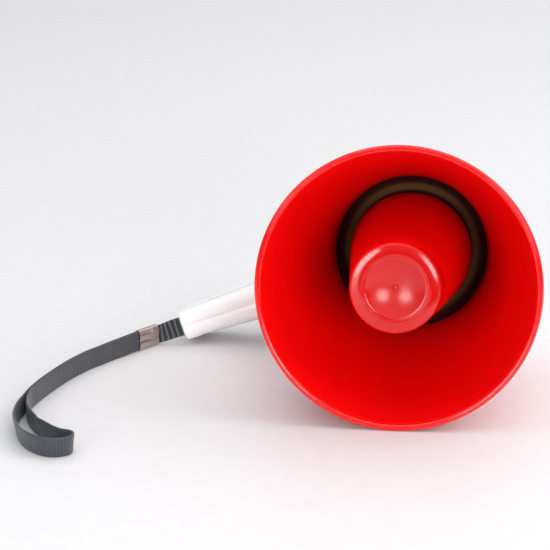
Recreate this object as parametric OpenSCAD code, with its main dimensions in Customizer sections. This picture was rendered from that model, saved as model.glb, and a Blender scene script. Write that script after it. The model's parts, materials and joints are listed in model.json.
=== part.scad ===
// Handheld megaphone with a re-entrant horn, a clamshell housing with its handle, rear controls and a wrist strap.
// It is drawn along the horn's axis: the mouth at z = 0, the rear at +Z, the handle along -X, and Y across it.
// placed() then lays it down the way it rests: on the bell's lip, the housing's rear edge and the handle's foot.

/* [Horn] */
// Outside radius of the bell's mouth
mouth_r = 80; // [79:0.5:82]
// Radius of the rolled lip
lip_r = 1.9; // [1.7:0.1:2.1]
// Inside radius of the bell's neck
neck_r = 46.5; // [46:0.25:47]
// Length from the mouth to the neck
bell_len = 150; // [149:0.5:151]
// How much the bell's wall curves, where 1 is a straight cone
flare = 1.12; // [1:0.02:1.3]
// Wall of the bell
bell_wall = 2.5; // [2:0.1:2.8]
// Radius of the reflector's front
reflector_front_r = 25.4; // [25:0.2:26.4]
// Radius of the reflector's open rear rim
reflector_rear_r = 36.8; // [36:0.2:37.4]

/* [Housing] */
// Radius of the collar that holds the horn
collar_r = 57; // [57:0.5:58]
// Radius of the housing behind the collar
body_r = 53; // [53:0.5:54]
// Wall of the housing
body_wall = 2.4; // [2.2:0.1:2.6]
// Radius of the rear cover's edge
rear_round = 8; // [7:0.5:9]

/* [Handle] */
// Distance from the horn's axis to the handle's foot
foot_x = 150; // [148:1:152]
// Half the handle's width where it leaves the housing
root_half_w = 13.4; // [13:0.1:14]
// Half the handle's width above the foot
foot_half_w = 8.6; // [8.4:0.1:9]
// How far the foot's spur stands forward
spur = 3; // [2:0.5:4]

/* [Controls] */
// Travel of the trigger in degrees
trigger_travel = 7; // [5:1:7]
// Diameter of the volume knob
knob_d = 16; // [14:0.5:17]

/* [Power] */
// Diameter of a cell
cell_d = 14.5; // [14:0.1:14.5]
// Length of a cell's can
cell_len = 49.2; // [49:0.1:49.5]

/* [Wrist strap] */
// Width of the webbing
band_w = 12; // [11:0.5:12]
// Thickness of the webbing
band_t = 1.3; // [1.1:0.1:1.4]

/* [Hidden] */
$fn = 96;

// Horn
mouth_in_r = mouth_r - 2 * lip_r + 0.6;
lip_land = 0.12;
flange_r = 54.3;
flange_z = bell_len - 3.5;
channel_r = 9.5;
channel_z = bell_len + channel_r;
tube_end_z = 153;
driver_z = 163.5;
reflector_front_z = 0.6;
reflector_rear_z = 145;
reflector_wall = 2.2;
dish_r = 16;
dish_depth = 4.2;
reflector_floor = 7.4;

// Housing
front_z = 138;
cover_z = 229;
rear_z = 238;
cavity_r = body_r - body_wall;
horn_seat_z = bell_len + 2.5;
cover_boss_ring = 45;
cover_boss_turns = [72, 140, 220, 288];

// Handle
root_x = 50;
root_front_z = 142;
root_rear_z = 178;
foot_front_z = 147.5;
foot_rear_z = 182;
handle_wall = 2.3;
neck_x = 139.5;
flange_x = 144.5;

// Screws
screw_r = 1.5;
head_r = 2.7;
head_h = 1.8;
// x and z of each screw that joins the two housing halves
body_screws = [[46.5, 163], [-46.2, 190], [-46.2, 216]];
handle_screws = [[-99, 163], [-131, 164]];

// Trigger
pivot_x = -62.5;
pivot_z = 151;
pin_r = 1.5;
trigger_half_w = 5.8;
plunger_x = -74;
plunger_z = 153.1;
spring_x = -85.5;

// Driver
driver_r = 31;
driver_screw_ring = 28.3;
driver_screw_turns = [45, 135, 225, 315];

// Rear cover
cup_r = 20;
control_ring = 34;
mic_z = 229.5;
cover_in_z = rear_z - 2.4;
board_posts = [[-36, -21], [-36, 21], [13, -21], [13, 21]];
bore_r = screw_r + 0.05;

// Battery compartment: the cells stand on a circle round the horn's axis
cell_ring = 40.2;
cell_turns = [-34.5, -11.5, 11.5, 34.5];
tray_front_z = 172;
tray_rear_z = 229;
tray_wall = 1.2;
contact_t = 0.4;
nub_len = 1.2;
front_contact_z = tray_front_z + tray_wall + contact_t + 0.05;
rear_contact_z = tray_rear_z - tray_wall - contact_t - 0.05;
door_turn = 46;
door_z = [173.5, 225.5];
hinge_turn = -49.2;
hinge_r = 53.6;
knuckle_r = 2.1;
hinge_pin_r = 0.9;
knuckle_z = [[176, 186], [186.3, 196.3], [196.6, 204.4], [204.7, 214.7], [215, 225]];

// Rest pose: the floor touches the lip's circle and the rear cover's rounded edge, then the handle's foot
rise_r = mouth_r - lip_r - (body_r - rear_round);
rise_z = rear_z - rear_round - (lip_r - lip_land);
pitch = atan2(rise_r, rise_z) - asin((rear_round - lip_r) / norm([rise_r, rise_z]));
axis_h = (mouth_r - lip_r) * cos(pitch) + (lip_r - lip_land) * sin(pitch) + lip_r;
foot_round = 6;
foot_edge = foot_x - 1;
foot_c = foot_half_w + 0.5 - foot_round;
foot_cz = foot_rear_z - foot_round;
function foot_reach(a) = foot_c * cos(a) * cos(pitch)
    + foot_round * norm([sin(pitch), cos(a) * cos(pitch)]);
function settle(a, steps) = steps == 0 ? a
    : settle(asin((axis_h - foot_cz * sin(pitch) - foot_reach(a)) / (foot_edge * cos(pitch))), steps - 1);
roll = settle(20, 8);
// Moves the centre of the object's footprint to the origin
centre = [31.95, -120.19, 0];

// A point of the drawing, as it lies in the rest pose
function rolled(p) = [p.x * cos(roll) + p.y * sin(roll), p.z, p.x * sin(roll) - p.y * cos(roll)];
function pitched(p) = [p.x, p.y * cos(pitch) + p.z * sin(pitch), p.z * cos(pitch) - p.y * sin(pitch) + axis_h];
function lying(p) = pitched(rolled(p));

// Wrist strap, in the rest pose before it is centred: x and y of the two layers' shared line, then of each layer
band_z = band_w / 2;
layer_gap = 1.6;
shared_run = [[-158, 139], [-163, 131], [-168, 123], [-174, 113], [-180, 103], [-185, 94], [-190, 85],
    [-194, 75.5], [-197.5, 66], [-200.5, 56], [-203.2, 46], [-205.6, 36], [-207.7, 26], [-209.2, 17], [-210.3, 9]];
near_layer = [[-209.3, 1], [-208.6, -6], [-206.8, -14.5], [-203.8, -23], [-200, -31], [-195.5, -38.5],
    [-190.5, -45.5], [-185.5, -51.5], [-180.5, -55.8], [-176, -57.6], [-173, -60]];
loop_tip = [[-171.9, -63.5], [-172.8, -67.3]];
far_layer = [[-176.3, -70.6], [-181.5, -72], [-187.5, -70.4], [-193, -66.5], [-198.5, -60.5], [-203.2, -52.5],
    [-207.2, -43], [-210, -33], [-211.7, -23], [-212.3, -13], [-211.9, -3]];
slot_z = 152.5;
tab_t = 2.2;
// the tab passes in front of its pin and round it
eye_r = pin_r + 0.05 + tab_t / 2;
eye = [-142.9, slot_z + eye_r];
tab_eye = [for (a = [190:-20:-90]) lying([eye.x + eye_r * cos(a), 0, eye.y + eye_r * sin(a)])];
tab_line = [lying([-145.6, 0, slot_z]), lying([-148.2, 0, slot_z]), lying([-150.5, 0, slot_z]),
    lying([-153.5, 0, slot_z]), [-147.2, 144.8, 8.9], [-150.5, 143.8, 7.8], [-154, 142, 6.9], [-157, 139.9, 6.5]];
tab_up = lying([0, -1, 0]) - lying([0, 0, 0]);
crimp_start = [-157.6, 139.64];
crimp_turn = atan2(-16, -10);
crimp_len = 17.5;

// ---- placing and shared shapes ----

module placed() {
    translate(centre)
        translate([0, 0, axis_h])
            rotate([-pitch, 0, 0])
                rotate([0, -roll, 0])
                    rotate([-90, 0, 0])
                        children();
}

module turned(points, angle = 360, start = 0) {
    rotate([0, 0, start])
        rotate_extrude(angle = angle)
            polygon(points);
}

module ring(r_in, r_out, z0, z1) {
    turned([[r_in, z0], [r_out, z0], [r_out, z1], [r_in, z1]]);
}

module disc(r, z0, z1) {
    translate([0, 0, z0])
        cylinder(r = r, h = z1 - z0);
}

// A round bar along Y, from y0 to y1
module cross_bar(x, z, r, y0, y1) {
    translate([x, y0, z])
        rotate([-90, 0, 0])
            cylinder(r = r, h = y1 - y0);
}

module block(low, high) {
    translate(low)
        cube(high - low);
}

module around(turns, radius) {
    for (a = turns)
        rotate([0, 0, a])
            translate([radius, 0, 0])
                children();
}

// Points of an arc in the r-z plane
function arc(c, r, a0, a1, n) = [for (i = [0:n]) c + r * [cos(a0 + (a1 - a0) * i / n), sin(a0 + (a1 - a0) * i / n)]];

// A countersunk-free pan screw, its head at the origin and its shank towards -Z
module screw(length) {
    cylinder(r = head_r, h = head_h);
    translate([0, 0, -length])
        cylinder(r = screw_r, h = length + 0.1);
}

// A cross recess in a screw's head
module cross_recess() {
    for (a = [0, 90])
        rotate([0, 0, a])
            translate([-1.4, -0.3, head_h - 0.9])
                cube([2.8, 0.6, 1]);
}

module recessed_screw(length) {
    difference() {
        screw(length);
        cross_recess();
    }
}

// One ring of an eight-sided section, w high along up and t thick, square to the direction dir
function section_ring(p, dir, up, w, t) =
    let (side = cross(dir, up) / norm(cross(dir, up)), top = cross(side, dir), c = min(w, t) / 4)
    [for (q = [[t / 2, w / 2 - c], [t / 2 - c, w / 2], [c - t / 2, w / 2], [-t / 2, w / 2 - c],
               [-t / 2, c - w / 2], [c - t / 2, -w / 2], [t / 2 - c, -w / 2], [t / 2, c - w / 2]])
        p + side * q[0] + top * q[1]];

function heading(path, i) =
    let (v = path[min(i + 1, len(path) - 1)] - path[max(i - 1, 0)]) v / norm(v);

// A bar swept along a path of points, with an up direction for each of them
module swept(path, ups, w, t) {
    n = len(path);
    rings = [for (i = [0:n - 1]) each section_ring(path[i], heading(path, i), ups[i], w, t)];
    sides = [for (i = [0:n - 2], k = [0:7])
        let (a = 8 * i + k, b = 8 * i + (k + 1) % 8) each [[a, b, b + 8], [a, b + 8, a + 8]]];
    ends = [[for (k = [7:-1:0]) k], [for (k = [0:7]) 8 * (n - 1) + k]];
    polyhedron(rings, concat(sides, ends));
}

// A pair of wires, one on each side of the horn's axis
module wire_pair(path, d, up) {
    for (m = [0, 1])
        mirror([0, m, 0])
            swept(path, [for (p = path) up], d, d);
}

// ---- horn ----

function bell_in(z) = neck_r + (mouth_in_r - neck_r) * pow(1 - z / bell_len, flare);
function reflector_out(z) = reflector_front_r
    + (reflector_rear_r - reflector_front_r) * (z - reflector_front_z) / (reflector_rear_z - reflector_front_z);
function tube_out(z) = 15.8 - 2.8 * (z - 35) / 118;

module bell() {
    steps = [for (i = [0:30]) lip_r + (bell_len - lip_r) * i / 30];
    inner = [for (z = steps) [bell_in(z), z]];
    outer = [for (z = steps) if (z < flange_z) [bell_in(z) + bell_wall, z]];
    flange = [[flange_r, bell_len], [flange_r, flange_z], [bell_in(flange_z) + bell_wall, flange_z]];
    color("red")
        difference() {
            union() {
                turned(concat(inner, flange, [for (i = [len(outer) - 1:-1:0]) outer[i]]));
                translate([0, 0, lip_r - lip_land])
                    rotate_extrude()
                        translate([mouth_r - lip_r, 0])
                            circle(r = lip_r);
            }
            disc(mouth_r + 5, -5, 0);
        }
}

module reflector() {
    z0 = reflector_front_z;
    zr = reflector_rear_z;
    edge = 2;
    wall = reflector_wall;
    dish_curve = (dish_r * dish_r + dish_depth * dish_depth) / (2 * dish_depth);
    dish_z = z0 + 0.5;
    color("red")
        difference() {
            union() {
                turned(concat(
                    [[0, z0 + reflector_floor], [0, z0], [reflector_front_r - edge, z0]],
                    arc([reflector_front_r - edge, z0 + edge], edge, -75, -5, 5),
                    [[reflector_front_r + 0.15, z0 + edge + 0.5], [reflector_rear_r, zr - 1]],
                    [[reflector_rear_r - 0.6, zr], [reflector_rear_r - wall + 0.4, zr]],
                    [[reflector_rear_r - wall, zr - 1], [reflector_front_r - wall + 0.3, z0 + reflector_floor + 2.6],
                     [reflector_front_r - wall - 2.5, z0 + reflector_floor]]));
            }
            // the shallow dish and the fine step round it
            ring(dish_r - 0.05, 18, z0 - 1, dish_z);
            intersection() {
                translate([0, 0, dish_z + dish_depth - dish_curve])
                    sphere(r = dish_curve);
                disc(dish_r, z0 - 1, dish_z + dish_depth);
            }
        }
    color("red")
        disc(1.3, dish_z + dish_depth - 0.6, dish_z + dish_depth + 1.5);
}

function throat_in(z) = 14 - 5 * (z - 35) / 126;

// The horn's middle stage: a tube that widens towards the mouth, with the vanes that carry the reflector
module throat_tube() {
    blade_turns = [90, 210, 330];
    color([0.1, 0.1, 0.1]) {
        turned([[throat_in(35), 35], [tube_out(35), 35], [tube_out(tube_end_z), tube_end_z],
                [throat_in(tube_end_z), tube_end_z]]);
        intersection() {
            union()
                for (a = blade_turns)
                    rotate([0, 0, a])
                        block([10, -1, 70], [40, 1, 118]);
            turned([[tube_out(70) - 0.6, 70], [reflector_out(70) - reflector_wall - 0.35, 70],
                    [reflector_out(118) - reflector_wall - 0.35, 118], [tube_out(118) - 0.6, 118]]);
        }
    }
}

// The ring channel that turns the sound forward, the bell's seat and the driver's seat
module horn_base() {
    out_c = [neck_r - channel_r, bell_len];
    color([0.1, 0.1, 0.1])
        difference() {
            turned(concat(
                arc(out_c, channel_r, 0, 90, 10),
                arc([19.5, channel_z - 6.5], 6.5, 90, 180, 6),
                [[throat_in(tube_end_z), tube_end_z], [throat_in(161), 161], [17, 161], [17, driver_z],
                 [34, driver_z], [34, channel_z + 2], [out_c.x, channel_z + 2]],
                arc(out_c, channel_r + 2, 80, 14, 6),
                [[48.3, horn_seat_z], [flange_r, horn_seat_z], [flange_r, bell_len]]));
            driver_holes(driver_z - 3, driver_z + 1);
        }
}

// ---- horn driver ----

module driver_holes(z0, z1) {
    around(driver_screw_turns, driver_screw_ring)
        disc(bore_r, z0, z1);
}

module driver_gasket() {
    color([0.15, 0.15, 0.15])
        difference() {
            ring(25, driver_r, driver_z, driver_z + 1.5);
            driver_holes(driver_z - 1, driver_z + 2);
        }
}

module driver_dome() {
    color([0.85, 0.75, 0.5])
        intersection() {
            difference() {
                translate([0, 0, 182.6])
                    sphere(r = 20.4);
                translate([0, 0, 182.6])
                    sphere(r = 20.1);
            }
            disc(14, 161, 168.05);
        }
}

module driver_surround() {
    z0 = driver_z + 1.5;
    color([0.75, 0.65, 0.45])
        difference() {
            turned([[14.3, 168.3], [14.3, 168], [17, 167.4], [20, 165.6], [24, z0], [driver_r, z0],
                    [driver_r, z0 + 0.4], [24, z0 + 0.4], [20.2, 166], [17.1, 167.8]]);
            driver_holes(z0 - 1, z0 + 1);
        }
}

module voice_coil() {
    color("peru")
        ring(13.4, 14, 168.05, 174.5);
}

module driver_frame() {
    color("gray")
        difference() {
            ring(24.6, driver_r, driver_z + 1.9, 170);
            driver_holes(driver_z, 171);
        }
}

module front_plate() {
    color("silver")
        difference() {
            ring(14.7, driver_r, 170, 174);
            driver_holes(169, 175);
        }
}

module ring_magnet() {
    color([0.2, 0.2, 0.22])
        ring(18, 25.3, 174, 182);
}

module yoke() {
    color("silver")
        difference() {
            union() {
                disc(12.7, 170.4, 182);
                disc(25.8, 182, 186);
            }
            disc(2.5, 169, 187);
        }
}

module driver_screws() {
    color("silver")
        around(driver_screw_turns, driver_screw_ring)
            translate([0, 0, 174])
                recessed_screw(13);
}

// ---- housing and handle ----

// Half the handle's width at a distance x from the horn's axis
function half_w(x) = root_half_w - (root_half_w - foot_half_w) * (x - root_x) / (foot_x - root_x);
function front_at(x) = root_front_z + (foot_front_z - root_front_z) * (x - root_x) / (foot_x - root_x);
function rear_at(x) = root_rear_z + (foot_rear_z - root_rear_z) * (x - root_x) / (foot_x - root_x);

// A thin rounded slice across the handle, to be joined to others by a hull
module slice(x, hw, z0, z1, r) {
    thin = 0.2;
    for (side = [-1, 1], z = [z0 + r, z1 - r])
        translate([-x, side * (hw - r), z])
            rotate([0, 90, 0])
                cylinder(r = r, h = thin, $fn = 48);
}

module handle_outside() {
    flange_w = foot_half_w + 0.5;
    flange_front = foot_front_z - spur;
    hull() {
        slice(root_x, half_w(root_x), front_at(root_x), rear_at(root_x), 9);
        slice(neck_x, half_w(neck_x), front_at(neck_x), rear_at(neck_x), 6.2);
    }
    hull() {
        slice(neck_x, half_w(neck_x), front_at(neck_x), rear_at(neck_x), 6.2);
        slice(flange_x, flange_w, flange_front, foot_rear_z, foot_round);
    }
    hull() {
        slice(flange_x, flange_w, flange_front, foot_rear_z, foot_round);
        slice(foot_edge, flange_w, flange_front, foot_rear_z, foot_round);
        slice(foot_x, flange_w - 1, flange_front + 1, foot_rear_z, foot_round - 1);
    }
}

module handle_inside() {
    w = handle_wall;
    hull() {
        slice(root_x - 6, half_w(root_x) - w, front_at(root_x) + w, rear_at(root_x) - w, 6.7);
        slice(neck_x, half_w(neck_x) - w, front_at(neck_x) + w, rear_at(neck_x) - w, 3.9);
    }
    hull() {
        slice(neck_x, half_w(neck_x) - w, front_at(neck_x) + w, rear_at(neck_x) - w, 3.9);
        slice(foot_x - 3, foot_half_w - w, foot_front_z + 1, foot_rear_z - w - 0.5, 3.6);
    }
}

module housing_cavity() {
    rib_z = horn_seat_z + 2.6;
    turned([[0, front_z - 1], [51.4, front_z - 1], [51.4, front_z + 2.4], [collar_r - body_wall, front_z + 2.4],
            [collar_r - body_wall, flange_z - 2.4], [51.9, flange_z - 2.4], [51.9, flange_z],
            [flange_r + 0.1, flange_z], [flange_r + 0.1, horn_seat_z], [50.2, horn_seat_z], [50.2, rib_z],
            [collar_r - body_wall, rib_z], [collar_r - body_wall, 159.5], [cavity_r, 171.5],
            [cavity_r, cover_z + 1], [0, cover_z + 1]]);
}

module housing_outside() {
    turned(concat(
        [[40, front_z]],
        arc([collar_r - 1.5, front_z + 1.5], 1.5, -90, 0, 4),
        [for (i = [0:8]) [body_r + (collar_r - body_r) * (1 + cos(22.5 * i)) / 2, 158 + 14 * i / 8]],
        [[body_r, cover_z], [40, cover_z]]));
}

// The sector of the wall that the battery door fills, grown by gap on every side
module door_sector(r_in, r_out, gap) {
    turned([[r_in, door_z[0] - gap], [r_out, door_z[0] - gap], [r_out, door_z[1] + gap], [r_in, door_z[1] + gap]],
           2 * (door_turn + gap), -door_turn - gap);
}

// The wall of the housing in the hinge's lane, cut away where the door's knuckles turn
module hinge_bar(z0, z1, r) {
    rotate([0, 0, hinge_turn])
        translate([hinge_r, 0, z0])
            cylinder(r = r, h = z1 - z0);
}

module clamshell() {
    difference() {
        union() {
            difference() {
                union() {
                    housing_outside();
                    handle_outside();
                }
                housing_cavity();
            }
            for (i = [0, 2, 4])
                hinge_bar(knuckle_z[i][0], knuckle_z[i][1], knuckle_r);
        }
        difference() {
            handle_inside();
            disc(cavity_r - 4, 130, 200);
        }
        door_sector(40, 60, 0.35);
        hinge_bar(knuckle_z[0][0] - 1, knuckle_z[4][1] + 1, hinge_pin_r + 0.03);
        for (i = [1, 3]) {
            hinge_bar(knuckle_z[i][0] - 0.2, knuckle_z[i][1] + 0.2, knuckle_r + 0.35);
            turned([[51.3, knuckle_z[i][0] - 0.2], [60, knuckle_z[i][0] - 0.2],
                    [60, knuckle_z[i][1] + 0.2], [51.3, knuckle_z[i][1] + 0.2]], 4.5, hinge_turn);
        }
        // the trigger's slot and the strap's slot
        block([-94.5, -trigger_half_w - 0.4, 120], [-57.2, trigger_half_w + 0.4, 150]);
        block([-foot_x - 1, -band_w / 2 - 0.5, slot_z - 1.9], [-foot_x + 5, band_w / 2 + 0.5, slot_z + 1.9]);
    }
}

// Bosses that run across the housing, for the screws, the trigger's pin and its spring
module bosses() {
    for (s = body_screws)
        cross_bar(s[0], s[1], 4.2, -27, 27);
    for (s = handle_screws)
        cross_bar(s[0], s[1], 4.2, 0.6 - half_w(-s[0]), half_w(-s[0]) - 0.6);
    for (side = [-1, 1])
        cross_bar(pivot_x, pivot_z, 3.1, side > 0 ? trigger_half_w + 0.4 : -12, side > 0 ? 12 : -trigger_half_w - 0.4);
    block([-89, -10.6, 161], [-82, 10.6, 163]);
    for (x = [-80.5, -67.2])
        block([x - 0.8, -10.3, 157.2], [x + 0.8, 10.3, 164]);
}

module cover_bosses() {
    around(cover_boss_turns, cover_boss_ring)
        difference() {
            union() {
                disc(3.5, 208, cover_z - 6.2);
                translate([0, -1.5, 208])
                    cube([6.4, 3, cover_z - 6.2 - 208]);
            }
            disc(bore_r, 207, cover_z);
        }
}

module bored_bosses() {
    intersection() {
        bosses();
        union() {
            turned([[0, 154], [collar_r - 1.6, 154], [collar_r - 1.6, 159.5], [cavity_r + 0.8, 171.5],
                    [cavity_r + 0.8, cover_z - 8], [0, cover_z - 8]]);
            hull() {
                slice(root_x, half_w(root_x) - 1, front_at(root_x) + 1, rear_at(root_x) - 1, 8);
                slice(neck_x, half_w(neck_x) - 1, front_at(neck_x) + 1, rear_at(neck_x) - 1, 5.2);
            }
        }
    }
}

module housing_bores() {
    for (s = body_screws)
        cross_bar(s[0], s[1], bore_r, -30, 5.4);
    for (s = handle_screws)
        cross_bar(s[0], s[1], bore_r, -12, 4.7);
    cross_bar(pivot_x, pivot_z, pin_r + 0.03, -9.6, 9.6);
    cross_bar(eye.x, eye.y, pin_r + 0.03, -8, 8);
}

// Recesses for the screws' heads, sunk from the left half's outside
module head_recesses() {
    for (s = body_screws)
        cross_bar(s[0], s[1], head_r + 0.3, -40, -13);
    for (s = handle_screws)
        cross_bar(s[0], s[1], head_r + 0.3, -20, -6.2);
}

module housing_half(side) {
    difference() {
        union() {
            clamshell();
            bored_bosses();
            cover_bosses();
        }
        housing_bores();
        head_recesses();
        block([-200, side > 0 ? -70 : 0, 100], [100, side > 0 ? 0 : 70, 260]);
    }
}

module housing_left() {
    color("white")
        housing_half(-1);
}

module housing_right() {
    color("white")
        housing_half(1);
}

module housing_screws() {
    color("silver") {
        for (s = body_screws)
            translate([s[0], -13, s[1]])
                rotate([90, 0, 0])
                    recessed_screw(18);
        for (s = handle_screws)
            translate([s[0], -6.2, s[1]])
                rotate([90, 0, 0])
                    recessed_screw(10.5);
    }
}

// ---- rear cover, mouthpiece and controls ----

module rear_cover() {
    color([0.93, 0.93, 0.93])
        difference() {
            union() {
                turned(concat(
                    [[48.4, cover_z - 6], [cavity_r - 0.1, cover_z - 6], [cavity_r - 0.1, cover_z]],
                    [[body_r, cover_z]],
                    arc([body_r - rear_round, rear_z - rear_round], rear_round, 0, 90, 10),
                    [[cup_r + 4, rear_z], [cup_r + 4, rear_z - 2], [cup_r, rear_z - 2], [14, mic_z + 2.6],
                     [9, mic_z + 2.6], [9, mic_z], [16, mic_z], [26.5, cover_in_z], [body_r - rear_round - 0.4, cover_in_z]],
                    arc([body_r - rear_round, rear_z - rear_round], rear_round - 2.4, 80, 20, 5),
                    [[48.4, rear_z - 6.1]]));
                around(cover_boss_turns, cover_boss_ring)
                    disc(3.4, cover_z - 6.2, 235);
                for (p = board_posts)
                    translate(p)
                        disc(3, 205.6, 236);
            }
            around(cover_boss_turns, cover_boss_ring) {
                disc(screw_r + 0.1, 215, 240);
                disc(head_r + 0.3, 233.4, 240);
            }
            for (p = board_posts)
                translate(p)
                    disc(1.05, 205, 213);
            // the shaft's hole and the slider's slot
            translate([0, -control_ring, 0])
                disc(3.7, 230, 240);
            block([-7, control_ring - 2.2, 230], [7, control_ring + 2.2, 240]);
            // the tray's rear wall reaches in here
            turned([[30, cover_z - 7], [51, cover_z - 7], [51, cover_z], [49.9, cover_z], [49.9, tray_rear_z + 2],
                    [30, tray_rear_z + 2]], 106, -53);
        }
}

module cover_screws() {
    color("silver")
        around(cover_boss_turns, cover_boss_ring)
            translate([0, 0, 233.4])
                recessed_screw(22);
}

module mouth_ring() {
    color([0.12, 0.12, 0.12])
        turned(concat([[cup_r + 0.2, rear_z - 2], [cup_r + 3.9, rear_z - 2]],
            arc([cup_r + 2.4, rear_z + 0.6], 1.5, 0, 180, 8),
            [[cup_r + 0.2, rear_z]]));
}

module mic_grille() {
    color([0.2, 0.2, 0.2])
        difference() {
            disc(8.9, mic_z + 1.2, mic_z + 2.4);
            for (n = [0:2])
                around([for (k = [0:max(6 * n - 1, 0)]) k * 60 / max(n, 1)], 2.6 * n)
                    disc(0.75, mic_z, mic_z + 4);
        }
}

module mic_holder() {
    color([0.15, 0.15, 0.15])
        ring(4.95, 8.5, 222, mic_z + 1.2);
}

module mic_capsule() {
    color("silver")
        disc(4.9, 222.4, mic_z);
}

module volume_knob() {
    grip_turns = [for (k = [0:17]) 20 * k];
    color([0.15, 0.15, 0.15])
        translate([0, -control_ring, 0])
            difference() {
                union() {
                    turned([[0, rear_z + 0.4], [knob_d / 2, rear_z + 0.4], [knob_d / 2 - 0.6, rear_z + 8],
                            [knob_d / 2 - 1.4, rear_z + 8.8], [0, rear_z + 8.8]]);
                }
                around(grip_turns, knob_d / 2 + 0.2)
                    disc(0.75, rear_z + 1.6, rear_z + 10);
                disc(2.95, rear_z, rear_z + 6.3);
                // the pointer's groove
                block([-0.5, -knob_d / 2, rear_z + 8.2], [0.5, -2.5, rear_z + 9]);
            }
}

module volume_pot() {
    color([0.35, 0.35, 0.38])
        translate([0, -control_ring, 0]) {
            difference() {
                disc(7.3, cover_in_z - 6.4, cover_in_z);
                disc(3.05, cover_in_z - 7, rear_z);
            }
            ring(3.05, 3.6, cover_in_z, rear_z - 0.6);
        }
}

module volume_shaft() {
    color("silver")
        translate([0, -control_ring, 0])
            disc(2.95, cover_in_z - 5, rear_z + 6.3);
}

module mode_slider() {
    color([0.8, 0.1, 0.1])
        translate([0, control_ring, 0]) {
            block([-2, -1.7, 231.4], [2, 1.7, rear_z + 0.6]);
            difference() {
                block([-3, -3.2, rear_z + 0.4], [3, 3.2, rear_z + 2.8]);
                for (x = [-2, 0, 2])
                    block([x - 0.3, -4, rear_z + 2.2], [x + 0.3, 4, rear_z + 3]);
            }
        }
}

module mode_switch() {
    color([0.35, 0.35, 0.38])
        translate([0, control_ring, 0])
            difference() {
                block([-10, -3.6, cover_in_z - 7.8], [10, 3.6, cover_in_z]);
                block([-6.5, -2, 231], [6.5, 2, rear_z]);
            }
}

// ---- electronics ----

module circuit_board() {
    color("darkgreen")
        difference() {
            block([-41, -26, 204], [18, 26, 205.6]);
            for (p = board_posts)
                translate(p)
                    disc(1.2, 203, 207);
        }
}

module board_screws() {
    color("silver")
        for (p = board_posts)
            translate([p.x, p.y, 204]) {
                rotate([180, 0, 0])
                    cylinder(r = 2.2, h = 1.4);
                cylinder(r = 1, h = 8);
            }
}

module amplifier_chip() {
    color([0.1, 0.1, 0.12])
        block([-24, -10, 192.6], [-20.6, 10, 204]);
}

module heat_sink() {
    color([0.7, 0.7, 0.72]) {
        block([-20.6, -13, 190.4], [-18.4, 13, 204]);
        for (y = [-13, -7, -1, 5, 11])
            block([-18.4, y, 190.4], [-10.4, y + 2, 204]);
    }
}

module capacitors() {
    color([0.15, 0.2, 0.45]) {
        for (y = [-12, 4])
            translate([2, y, 0])
                disc(4, 192.4, 204);
        translate([-32, 0, 0])
            disc(3.2, 194, 204);
        translate([-32, -11, 0])
            disc(2.5, 197, 204);
    }
}

// ---- power ----

module battery_tray() {
    floor_r = 32.6;
    wall_r = 49.4;
    turn = 47.6;
    color([0.2, 0.2, 0.2]) {
        turned([[31.5, tray_front_z], [floor_r, tray_front_z], [floor_r, tray_rear_z], [31.5, tray_rear_z]],
               2 * turn, -turn);
        for (z = [tray_front_z, tray_rear_z - tray_wall])
            turned([[floor_r, z], [wall_r, z], [wall_r, z + tray_wall], [floor_r, z + tray_wall]], 2 * turn, -turn);
        for (a = [-23, 0, 23])
            rotate([0, 0, a])
                block([floor_r - 0.2, -0.4, tray_front_z + tray_wall], [39, 0.4, tray_rear_z - tray_wall]);
    }
}

// Odd and even cells point opposite ways, as they are wired in series
module cell(index) {
    flip = index % 2;
    z0 = flip == 1 ? rear_contact_z - nub_len - cell_len : front_contact_z + nub_len;
    rotate([0, 0, cell_turns[index]])
        translate([cell_ring, 0, 0]) {
            color([0.15, 0.35, 0.6])
                disc(cell_d / 2, z0, z0 + cell_len);
            color("silver") {
                if (flip == 1)
                    disc(2.75, z0 + cell_len, z0 + cell_len + nub_len);
                if (flip == 0)
                    disc(2.75, z0 - nub_len, z0);
            }
        }
}

module cell_1() cell(0);
module cell_2() cell(1);
module cell_3() cell(2);
module cell_4() cell(3);

module battery_contacts() {
    color("silver")
        around(cell_turns, cell_ring)
            for (z = [tray_front_z + tray_wall, tray_rear_z - tray_wall - contact_t])
                block([-5, -5, z], [5, 5, z + contact_t]);
}

// A conical contact spring, turned as stacked rings joined by a sloping bar
module contact_spring(z0, z1) {
    turns = 3;
    path = [for (i = [0:8 * turns])
        let (f = i / (8 * turns)) [(4.2 - 1.4 * f) * cos(45 * i), (4.2 - 1.4 * f) * sin(45 * i), z0 + (z1 - z0) * f]];
    swept(path, [for (p = path) [0, 0, 1]], 0.5, 0.5);
}

module battery_springs() {
    color("silver")
        for (i = [0:3])
            rotate([0, 0, cell_turns[i]])
                translate([cell_ring, 0, 0]) {
                    if (i % 2 == 1)
                        contact_spring(front_contact_z + 0.25, rear_contact_z - nub_len - cell_len - 0.3);
                    if (i % 2 == 0)
                        contact_spring(rear_contact_z - 0.25, front_contact_z + nub_len + cell_len + 0.3);
                }
}

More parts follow.
